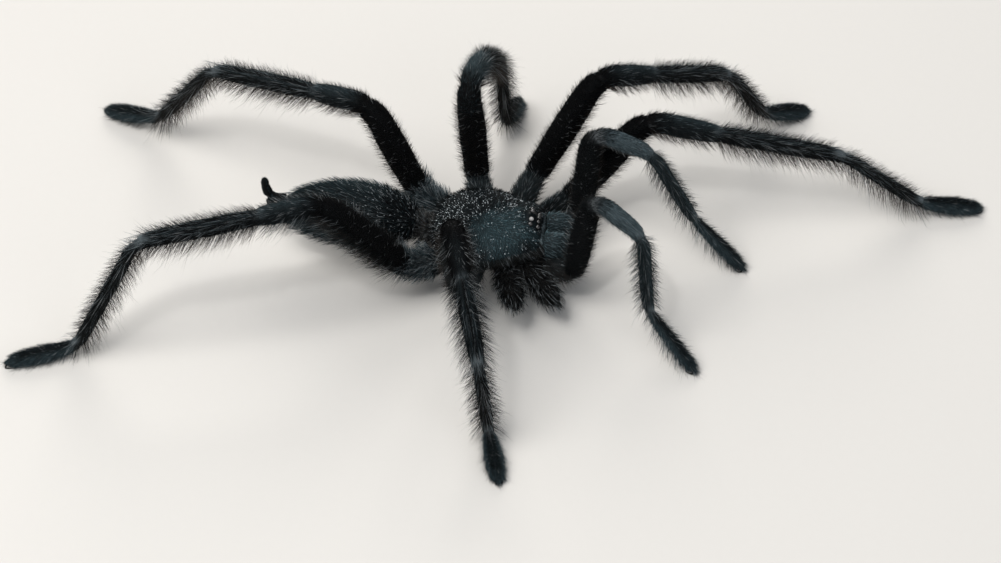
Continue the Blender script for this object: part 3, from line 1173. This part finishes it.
class Graph:
    """A material's nodes, ending in one Principled shader."""

    def __init__(self, name, **constants):
        self.material = bpy.data.materials.new(name)
        self.material.use_nodes = True
        self.tree = self.material.node_tree
        self.tree.nodes.clear()
        out = self.tree.nodes.new("ShaderNodeOutputMaterial")
        self.shader = self.tree.nodes.new("ShaderNodeBsdfPrincipled")
        self.tree.links.new(self.shader.outputs[0], out.inputs["Surface"])
        for socket, value in constants.items():
            self.shader.inputs[socket.replace("_", " ")].default_value = value

    def node(self, kind, settings=None, inputs=None, output=0):
        """Adds a node: its settings, then its sockets' values or links."""
        node = self.tree.nodes.new(kind)
        for key, value in (settings or {}).items():
            setattr(node, key, value)
        for key, value in (inputs or {}).items():
            if isinstance(value, Val):
                self.tree.links.new(value.socket, node.inputs[key])
            else:
                node.inputs[key].default_value = value
        return Val(self, node.outputs[output])

    def parts(self, name):
        """The three numbers of a mesh's own vector attribute."""
        vector = self.node("ShaderNodeAttribute", {"attribute_name": name}, output=1)
        first = self.node("ShaderNodeSeparateXYZ", None, {0: vector})
        return [Val(self, socket) for socket in first.socket.node.outputs]

    def blend(self, share, a, b):
        """Colour a at share 0 and b at share 1."""
        return self.node("ShaderNodeMix", {"data_type": "RGBA"}, {0: share, 6: a, 7: b}, output=2)

    def brightened(self, value, colour):
        """A colour times a value."""
        return self.node("ShaderNodeHueSaturation", None, {"Value": value, "Color": colour})

    def scaled(self, vector, scale):
        """A vector with each of its numbers scaled."""
        return self.node("ShaderNodeVectorMath", {"operation": "MULTIPLY"}, {0: vector, 1: scale})

    def noise(self, vector, scale, detail=3.0):
        """Cloudy noise with `scale` clouds to a unit of the vector."""
        return self.node("ShaderNodeTexNoise", None, {"Vector": vector, "Scale": scale, "Detail": detail,
                                                      "Roughness": 0.55})

    def object_place(self):
        """The point's place in its object."""
        return self.node("ShaderNodeTexCoord", output=3)

    def finish(self, bump=None, strength=0.4, distance=0.0001, **links):
        """Links the shader's sockets, and its Normal through a Bump node."""
        for socket, value in links.items():
            self.tree.links.new(value.socket, self.shader.inputs[socket.replace("_", " ")])
        if bump is not None:
            normal = self.node("ShaderNodeBump", None,
                               {"Strength": strength, "Distance": distance, "Height": bump})
            self.tree.links.new(normal.socket, self.shader.inputs["Normal"])
        return self.material


def rgba(colour):
    """A colour with full alpha."""
    return (*colour, 1.0)


def toned(graph, own, cool, shares):
    """Black, with its shares of a cool tone, tan and pale laid over it in turn."""
    colour = rgba(own.black)
    for share, layer in zip(shares, (cool, rgba(own.tan), rgba(own.pale))):
        colour = graph.blend(share, colour, layer)
    return colour


# hair: its cool tone, sheen, gloss, the spread of its shades and their power
HAIR_LOOKS = {
    "limb_hair": ("slate", 0.01, 0.05, 1.1, 1.0),
    "body_hair": ("slate", 0.01, 0.03, 1.1, 1.0),
    "jaw_hair": ("teal", 0.05, 0.1, 1.3, 1.0),
    "abdomen_hair": ("teal", 0.02, 0.03, 0.9, 1.0),
    "carapace_hair": ("teal", 0.02, 0.04, 1.4, 2.0),
}


def coat_material(name, own):
    """Hair: toned by its shares, lighter towards the tip, and each hair its own shade, which is
    chance to a power, so that a higher power leaves fewer hairs bright."""
    cool, sheen, gloss, spread, power = HAIR_LOOKS[name]
    graph = Graph(name, Specular_IOR_Level=gloss, Sheen_Weight=sheen, Sheen_Roughness=0.35,
                  Sheen_Tint=rgba(own.sheen))
    along, chance, _ = graph.parts("strand")
    slate, tan, pale = graph.parts("tone")
    cloud = graph.noise(graph.object_place(), 330.0) * 0.7
    cool = graph.blend(cloud, rgba(getattr(own, cool)), rgba(own.slate))
    colour = toned(graph, own, cool, (slate, tan * along, pale))
    patch = graph.noise(graph.object_place(), 700.0)
    shade = chance ** power * (spread * (1 + power) / 2)
    value = 0.7 - spread * 0.5 + shade + along * 0.5 + patch * 0.3
    return graph.finish(Base_Color=graph.brightened(value, colour), Roughness=0.42 + chance * 0.2)


def skin_material(own):
    """Cuticle under the coat: the coat's own tones, darker, with a nap combed along the limbs."""
    graph = Graph("skin_cuticle", Specular_IOR_Level=0.12)
    flow = graph.node("ShaderNodeUVMap", {"uv_map": "flow"})
    nap = graph.noise(graph.scaled(flow, (1.2, 14.0, 1.0)), 1.0, 2.0)
    colour = toned(graph, own, rgba(own.slate), graph.parts("tone"))
    return graph.finish(bump=nap, strength=0.6, distance=0.00008,
                        Base_Color=graph.brightened(0.35 + nap * 0.5, colour),
                        Roughness=0.5 + nap * 0.3)


def carapace_material(own):
    """Dark plate, finely pitted, cloudy, in the coat's own tones, and glossy round the eyes."""
    graph = Graph("carapace_plate", Specular_IOR_Level=0.04)
    place = graph.object_place()
    pits = graph.node("ShaderNodeTexVoronoi", None, {"Vector": place, "Scale": 3200.0})
    cloud = graph.noise(place, 420.0)
    colour = toned(graph, own, rgba(own.teal), graph.parts("tone"))
    colour = graph.brightened(0.5 + cloud * 0.9, colour)
    shine, _, _ = graph.parts("shine")
    return graph.finish(bump=pits + cloud * 0.7, strength=0.5, distance=0.00006, Base_Color=colour,
                        Roughness=0.4 + cloud * 0.25 - shine * 0.3)


HORN = (0.012, 0.009, 0.008)


def horn_material(own):
    """Polished horn: near black with a faint grain along it, under a thin gloss."""
    graph = Graph("polished_horn", Specular_IOR_Level=0.15, Coat_Roughness=0.12)
    grain = graph.noise(graph.scaled(graph.object_place(), (1.0, 1.0, 4.0)), 1500.0)
    return graph.finish(bump=grain, strength=0.15, distance=0.00003,
                        Base_Color=graph.blend(grain, rgba(HORN), rgba(own.black)),
                        Roughness=0.16 + grain * 0.12, Coat_Weight=0.08 + grain * 0.1)


def eye_material(own):
    """A wet black lens, clouded by the milky share that the tone carries."""
    graph = Graph("eye_lens", Specular_IOR_Level=0.0, Coat_Roughness=0.06, Coat_IOR=2.0)
    _, _, milky = graph.parts("tone")
    cloud = graph.noise(graph.object_place(), 2500.0)
    colour = graph.blend(milky * (0.6 + cloud * 0.5), rgba(own.black), rgba(own.milky))
    return graph.finish(Base_Color=colour, Roughness=0.1 + cloud * 0.06, Coat_Weight=0.6 + cloud * 0.2)


def floor_material(own):
    """Matt studio paper with a fine fibre, a little darker along it."""
    graph = Graph("studio_paper", Specular_IOR_Level=0.2)
    fibre = graph.noise(graph.object_place(), 900.0)
    tint = graph.blend(fibre * 0.08, rgba(own.floor), rgba([c * 0.8 for c in own.floor]))
    return graph.finish(bump=fibre, strength=0.05, Base_Color=tint, Roughness=0.85 + fibre * 0.1)


# ------------------------------------------------------------------ settings


def colour_setting(name, description, default):
    """A colour that a user may change."""
    return bpy.props.FloatVectorProperty(name=name, description=description, subtype="COLOR",
                                         size=3, min=0, max=1, default=default)


def angle_setting(name, description, degrees):
    """An angle that a user may change."""
    return bpy.props.FloatProperty(name=name, description=description, subtype="ANGLE",
                                   unit="ROTATION", default=math.radians(degrees))


class TarantulaSettings(bpy.types.PropertyGroup):
    """Colours, claws and stage that a user would change."""

    black: colour_setting("Black", "Deepest colour of the coat", (0.0024, 0.0026, 0.0030))
    slate: colour_setting("Slate", "Blue-grey hairs of the palps and leg tops", (0.050, 0.074, 0.084))
    teal: colour_setting("Teal", "Blue-green down of the head, jaws and abdomen", (0.062, 0.112, 0.128))
    tan: colour_setting("Tan", "Warm tips of the long hairs", (0.17, 0.12, 0.085))
    pale: colour_setting("Pale", "Pale hairs of the joints", (0.39, 0.43, 0.45))
    sheen: colour_setting("Sheen", "Tint of the coat's sheen", (0.45, 0.75, 0.85))
    milky: colour_setting("Milky", "Clouded lens of the rear eyes", (0.78, 0.76, 0.74))
    floor: colour_setting("Floor", "Colour of the studio floor", (0.62, 0.60, 0.57))
    claw_reach: bpy.props.FloatProperty(
        name="Claw Reach", description="Radius of a claw's curl", unit="LENGTH", min=0,
        default=0.00062)
    view_angle: angle_setting("View Angle", "Width of the camera's view", 18)
    view_elevation: angle_setting("View Elevation", "Camera's height above level", 46.17)
    view_heading: angle_setting("View Heading", "Way the camera looks, turned from the X axis", 6.4)
    view_distance: bpy.props.FloatProperty(
        name="View Distance", description="Camera's distance from its target", unit="LENGTH",
        default=0.392)
    view_target: bpy.props.FloatVectorProperty(
        name="View Target", description="Point of the floor at the middle of the view",
        subtype="XYZ", unit="LENGTH", size=3, default=(-0.00118, 0.00066, 0.0))
    key_power: bpy.props.FloatProperty(
        name="Key Power", description="Power of the main soft light", unit="POWER", min=0,
        default=1.7)


# ------------------------------------------------------------------ operators

# soft light: place, size, share of the key light's power and colour
LIGHTS = {
    "key_light": ((-0.12, 0.18, 0.42), 0.30, 1.0, (1.0, 0.98, 0.95)),
    "fill_light": ((-0.35, -0.3, 0.25), 0.35, 0.35, (0.9, 0.95, 1.0)),
    "rim_light": ((0.38, 0.05, 0.22), 0.25, 0.6, (1.0, 0.97, 0.92)),
    "spark_light": ((-0.22, 0.1, 0.5), 0.02, 0.3, (1.0, 1.0, 1.0)),
}
AIR_COLOUR, AIR_POWER = (0.86, 0.9, 0.96), 0.42
FLOOR_HALF = 3000.0


def check_box(node, tube):
    """Raises an error where a tube's own box leaves its node's by more than the tolerance."""
    (points, _, _), _, _ = tube.surface(24)
    low, high = (np.array(corner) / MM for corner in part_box(node))
    off = max(np.abs(points.min(axis=0) - low).max(), np.abs(points.max(axis=0) - high).max())
    if off > BOX_TOLERANCE:
        raise RuntimeError(f"{node} stands {off:.2f} mm from its solid")


def part_of(tube, part):
    """The stretch of a limb's tube that is one segment."""
    columns = tube.columns[(tube.place >= part) & (tube.place <= part + 1)]
    return Tube(columns[:, :3], columns[:, 6:9], columns[:, 12], columns[:, 13], floor=tube.floor)


class TARANTULA_OT_skin(bpy.types.Operator):
    """Builds the one skin of limbs, trunk, jaws, waist, abdomen and spinnerets"""
    bl_idname = "tarantula.skin"
    bl_label = "Skin"

    def execute(self, context):
        parts, nodes = [], []
        for limb in LIMBS:
            shell, place, flow = limb_tube(limb).surface(22)
            parts.append((shell, limb_tone(limb, place, flow[:, 1]), flow))
            bare = limb_tube(limb, depth=0)
            for index, segment in enumerate(segments_of(limb)[1:], start=1):
                nodes.append(f"{name_of(limb)}_{segment}")
                check_box(nodes[-1], part_of(bare, index))
        check_box("abdomen", abdomen_tube(depth=0))
        # tube, sides round it, and shares of slate, tan and pale
        plain = [*((stump_tube(stump), 22, (0.04, 0.04, 0.0)) for stump in STUMPS),
                 (keel_tube(), 32, (0.1, 0.08, 0.0)), (neck_tube(), 32, (0.0, 0.05, 0.0)),
                 (pedicel_tube(), 24, (0.05, 0.45, 0.0)), (abdomen_tube(), 48, (0.04, 0.0, 0.0)),
                 *((jaw_tube(side), 30, (0.4, 0.0, 0.0)) for side in (1, -1)),
                 *((spinneret_tube(name), 16, (0.0, 0.0, 0.0)) for name in SPINNERETS)]
        for tube, sides, shares in plain:
            shell, place, flow = tube.surface(sides)
            parts.append((shell, still_tone(len(place), shares), flow))
        shells, tones, flows = zip(*parts)
        nodes += ["underside", "pedicel", "abdomen", "chelicera_left", "chelicera_right",
                  "leg_right_1_stump", "leg_right_2_stump", *SPINNERETS]
        add_piece("skin", join_shells(shells), skin_material(context.scene.tarantula), "velvet", nodes,
                  uv=np.vstack([with_poles(flow) for flow in flows]),
                  vectors={"tone": np.vstack([with_poles(tone) for tone in tones])})
        return {"FINISHED"}


class TARANTULA_OT_limb_coats(bpy.types.Operator):
    """Grows the hair of the six legs and two palps, one piece to a limb"""
    bl_idname = "tarantula.limb_coats"
    bl_label = "Limb Coats"

    def execute(self, context):
        material = coat_material("limb_hair", context.scene.tarantula)
        for index, limb in enumerate(LIMBS):
            plant(f"coat_{name_of(limb)}", limb_coat(limb, 100 + 10 * index), material, "velvet")
        return {"FINISHED"}


class TARANTULA_OT_body_coats(bpy.types.Operator):
    """Grows the hair of the trunk, the stumps and the jaws"""
    bl_idname = "tarantula.body_coats"
    bl_label = "Body Coats"

    def execute(self, context):
        own = context.scene.tarantula
        plant("coat_trunk", trunk_coat(), coat_material("body_hair", own), "velvet")
        plant("coat_jaws", jaw_coat(), coat_material("jaw_hair", own), "slate_fur")
        return {"FINISHED"}


class TARANTULA_OT_abdomen_coat(bpy.types.Operator):
    """Grows the hair of the abdomen and spinnerets"""
    bl_idname = "tarantula.abdomen_coat"
    bl_label = "Abdomen Coat"

    def execute(self, context):
        material = coat_material("abdomen_hair", context.scene.tarantula)
        plant("coat_abdomen", abdomen_coat(), material, "velvet")
        return {"FINISHED"}


class TARANTULA_OT_carapace(bpy.types.Operator):
    """Builds the carapace plate with its fovea, furrows and eye hill, and its short coat"""
    bl_idname = "tarantula.carapace"
    bl_label = "Carapace"

    def execute(self, context):
        own = context.scene.tarantula
        points, reach = plate_points()
        tone = carapace_tone(carapace_cover(points, reach)) * 0.2
        shine = hump(from_eye_hill(*ahead_and_left(points), 1.0, 1.5), 1.1)
        add_piece("carapace_plate", close_grid(points, len(points) // PLATE_TURNS, PLATE_TURNS),
                  carapace_material(own), "carapace_fur", ["carapace"],
                  vectors={"tone": with_poles(tone), "shine": with_poles(np.column_stack([shine] * 3))})
        plant("coat_carapace", carapace_coat(), coat_material("carapace_hair", own), "carapace_fur")
        return {"FINISHED"}


class TARANTULA_OT_eyes(bpy.types.Operator):
    """Sets the eight eyes into their hill"""
    bl_idname = "tarantula.eyes"
    bl_label = "Eyes"

    def execute(self, context):
        eyes = [(place, hand) for place in EYES for hand in ("left", "right")]
        shells = [eye_tube(place, hand).surface(28)[0] for place, hand in eyes]
        tones = [still_tone(len(shell[0]), (0, 0, MILKY_EYES.get(f"{hand}_{place}", 0.0)))
                 for shell, (place, hand) in zip(shells, eyes)]
        nodes = [f"eye_{hand}_{place}" for hand in ("left", "right") for place in EYES]
        add_piece("eyes", join_shells(shells), eye_material(context.scene.tarantula), "horn", nodes,
                  vectors={"tone": np.vstack(tones)})
        return {"FINISHED"}


class TARANTULA_OT_fangs_and_claws(bpy.types.Operator):
    """Builds the two fangs and the paired claws of every foot"""
    bl_idname = "tarantula.fangs_and_claws"
    bl_label = "Fangs and Claws"

    def execute(self, context):
        own = context.scene.tarantula
        horn = horn_material(own)
        for side in (1, -1):
            hand = hand_of(side)
            add_piece(f"fang_horn_{hand}", fang_tube(side).surface(24)[0], horn, "horn", [f"fang_{hand}"])
        claws = [claw_tube(limb, side, own.claw_reach / MM * LONG_CLAWS.get(name_of(limb), 1.0))
                 for limb in LIMBS for side in (1, -1)]
        add_piece("claws", join_shells([claw.surface(8)[0] for claw in claws]), horn, "horn")
        return {"FINISHED"}


class TARANTULA_OT_stage(bpy.types.Operator):
    """Sets the floor, the soft lights and the camera"""
    bl_idname = "tarantula.stage"
    bl_label = "Stage"

    def execute(self, context):
        own, scene = context.scene.tarantula, context.scene
        corners = np.array([(-1, -1, 0), (1, -1, 0), (1, 1, 0), (-1, 1, 0)]) * FLOOR_HALF
        floor = make_mesh("studio_floor", (corners, np.array([[0, 1, 2, 3]])))
        floor.data.materials.append(floor_material(own))

        scene.world = bpy.data.worlds.new("studio_air")
        scene.world.use_nodes = True
        air = scene.world.node_tree.nodes["Background"].inputs
        air["Color"].default_value = rgba(AIR_COLOUR)
        air["Strength"].default_value = AIR_POWER
        for name, (place, size, share, colour) in LIGHTS.items():
            light = bpy.data.lights.new(name, "AREA")
            light.energy, light.size, light.color = own.key_power * share, size, colour
            lamp = bpy.data.objects.new(name, light)
            lamp.location = place
            lamp.rotation_euler = (-Vector(place)).to_track_quat("-Z", "Y").to_euler()
            scene.collection.objects.link(lamp)

        camera = bpy.data.cameras.new("camera")
        camera.angle = own.view_angle
        camera.clip_start, camera.clip_end = 0.01, 20
        eye = bpy.data.objects.new("camera", camera)
        level = math.cos(own.view_elevation)
        away = Vector((-math.cos(own.view_heading) * level, -math.sin(own.view_heading) * level,
                       math.sin(own.view_elevation)))
        eye.location = Vector(own.view_target) + away * own.view_distance
        eye.rotation_euler = (-away).to_track_quat("-Z", "Y").to_euler()
        scene.collection.objects.link(eye)
        scene.camera = eye
        scene.view_settings.view_transform = "Standard"
        return {"FINISHED"}


OPERATORS = (TARANTULA_OT_skin, TARANTULA_OT_limb_coats, TARANTULA_OT_body_coats,
             TARANTULA_OT_abdomen_coat, TARANTULA_OT_carapace, TARANTULA_OT_eyes,
             TARANTULA_OT_fangs_and_claws, TARANTULA_OT_stage)

class TARANTULA_PT_panel(bpy.types.Panel):
    """Lists the settings and the steps"""
    bl_idname = "TARANTULA_PT_panel"
    bl_label = "Tarantula"
    bl_space_type = "VIEW_3D"
    bl_region_type = "UI"
    bl_category = "Tarantula"

    def draw(self, context):
        own = context.scene.tarantula
        for name in TarantulaSettings.__annotations__:
            self.layout.prop(own, name)
        for operator in OPERATORS:
            self.layout.operator(operator.bl_idname)


CLASSES = (TarantulaSettings, *OPERATORS, TARANTULA_PT_panel)


def register():
    for cls in CLASSES:
        bpy.utils.register_class(cls)
    bpy.types.Scene.tarantula = bpy.props.PointerProperty(type=TarantulaSettings)


def unregister():
    del bpy.types.Scene.tarantula
    for cls in reversed(CLASSES):
        bpy.utils.unregister_class(cls)


def main():
    register()
    for operator in OPERATORS:
        group, name = operator.bl_idname.split(".")
        getattr(getattr(bpy.ops, group), name)()


if __name__ == "__main__":
    main()
